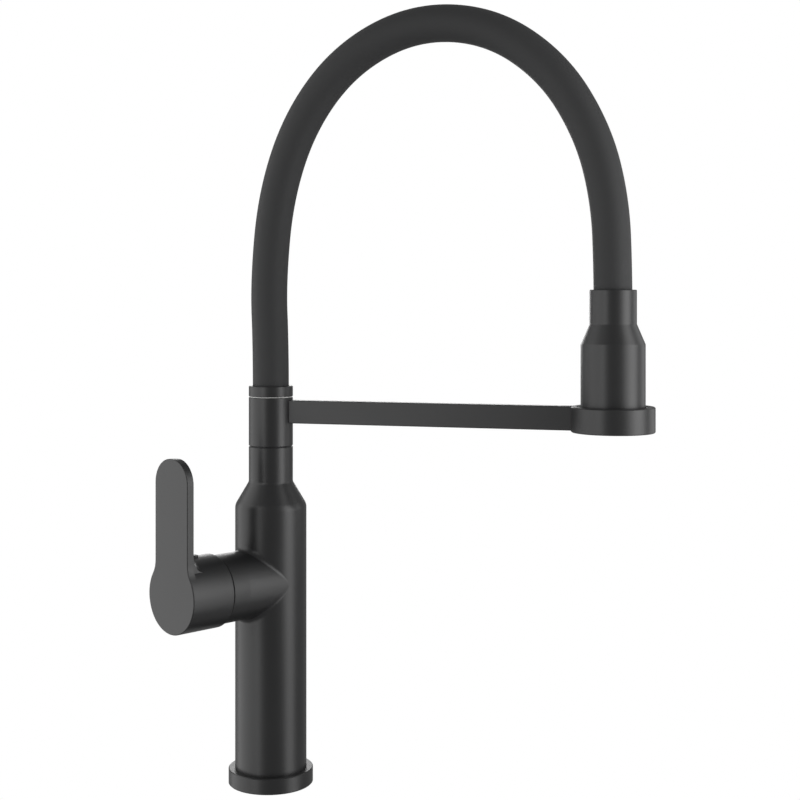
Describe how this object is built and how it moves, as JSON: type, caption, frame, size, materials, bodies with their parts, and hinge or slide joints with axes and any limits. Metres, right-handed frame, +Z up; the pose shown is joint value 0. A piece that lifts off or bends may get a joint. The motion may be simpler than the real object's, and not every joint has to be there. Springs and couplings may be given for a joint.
{
  "type": "pull-down kitchen faucet",
  "caption": "Single-lever kitchen faucet in satin black with a swivelling holder arm and a spray head on a silicone hose arch.",
  "frame": {"origin": "centre of the base flange's underside, on the worktop's surface", "axes": "+Z up along the column; the lever's stub points along -X; -Y is the side of the sink and the user"},
  "size_m": [0.2098, 0.2474, 0.5586],
  "materials": {
    "black_finish": "satin black coating on cast and turned brass",
    "black_silicone": "matte black silicone",
    "brass": "machined brass",
    "stainless": "stainless or zinc-plated steel",
    "ceramic": "ground alumina",
    "black_plastic": "black acetal",
    "white_nylon": "white nylon",
    "seal_rubber": "black seal rubber",
    "copper_tube": "drawn copper",
    "grey_plastic": "grey engineering plastic"
  },
  "bodies": {
    "tap_body": {"base_flange": "black_finish", "base_gasket": "seal_rubber", "base_insert": "brass", "body_shell": "black_finish", "inlet_tubes": "copper_tube", "cartridge_base": "grey_plastic", "port_seals": "seal_rubber", "fixed_disc": "ceramic", "cartridge_housing": "grey_plastic", "cartridge_nut": "brass", "trim_dome": "black_finish", "lower_washer": "black_plastic", "mounting_stud": "stainless", "horseshoe_gasket": "seal_rubber", "horseshoe_washer": "stainless", "stud_nut": "brass"},
    "cartridge_rotor": {"stem_rotor": "grey_plastic", "pivot_pin": "stainless"},
    "lever": {"cartridge_stem": "brass", "lever_handle": "black_finish", "grub_screw": "stainless", "screw_plug": "black_plastic"},
    "disc_set": {"moving_disc": "ceramic", "disc_carrier": "grey_plastic"},
    "spout": {"swivel_spindle": "brass", "spindle_seals": "seal_rubber", "spindle_clip": "stainless", "swivel_collar": "black_finish", "arm_stud": "stainless", "arm_bar": "black_finish", "dock_ring": "black_finish", "arm_screw": "stainless", "dock_liner": "black_plastic", "upper_washer": "white_nylon", "hose_nut": "black_finish", "silicone_hose": "black_silicone", "inner_water_hose": "black_plastic"},
    "spray_head": {"head_shell": "black_finish", "head_seal": "seal_rubber", "hose_end_fitting": "brass", "check_valve_cage": "grey_plastic", "nozzle_core": "black_plastic", "aerator": "grey_plastic", "aerator_screen": "black_plastic", "spray_face": "black_plastic"},
    "valve_poppet": {"check_valve_poppet": "grey_plastic"}
  },
  "joints": [
    {"name": "spout_swivel", "type": "hinge", "parent": "tap_body", "child": "spout", "pos_m": [0, 0, 0.2175], "axis": [0, 0, 1], "continuous": true},
    {"name": "lever_turn", "type": "hinge", "parent": "tap_body", "child": "cartridge_rotor", "pos_m": [-0.036, 0, 0.1304], "axis": [-1, 0, 0], "range_deg": [-50, 50]},
    {"name": "lever_tilt", "type": "hinge", "parent": "cartridge_rotor", "child": "lever", "pos_m": [-0.036, 0, 0.1304], "axis": [0, -1, 0], "range_deg": [0, 25]},
    {"name": "disc_slide", "type": "slide", "parent": "cartridge_rotor", "child": "disc_set", "axis": [0, 0, 1], "range_m": [0, 0.0039]},
    {"name": "spray_head_lift", "type": "slide", "parent": "spout", "child": "spray_head", "axis": [0, 0, 1], "range_m": [0, 0.045], "deforming": ["silicone_hose", "inner_water_hose"]},
    {"name": "check_valve_travel", "type": "slide", "parent": "spray_head", "child": "valve_poppet", "axis": [0, 0, -1], "range_m": [0, 0.0022], "stiffness_N_per_m": 60, "springref_m": -0.003}
  ],
  "couplings": [
    {"joint": "disc_slide", "follows": "lever_tilt", "m_per_rad": 0.00893}
  ]
}
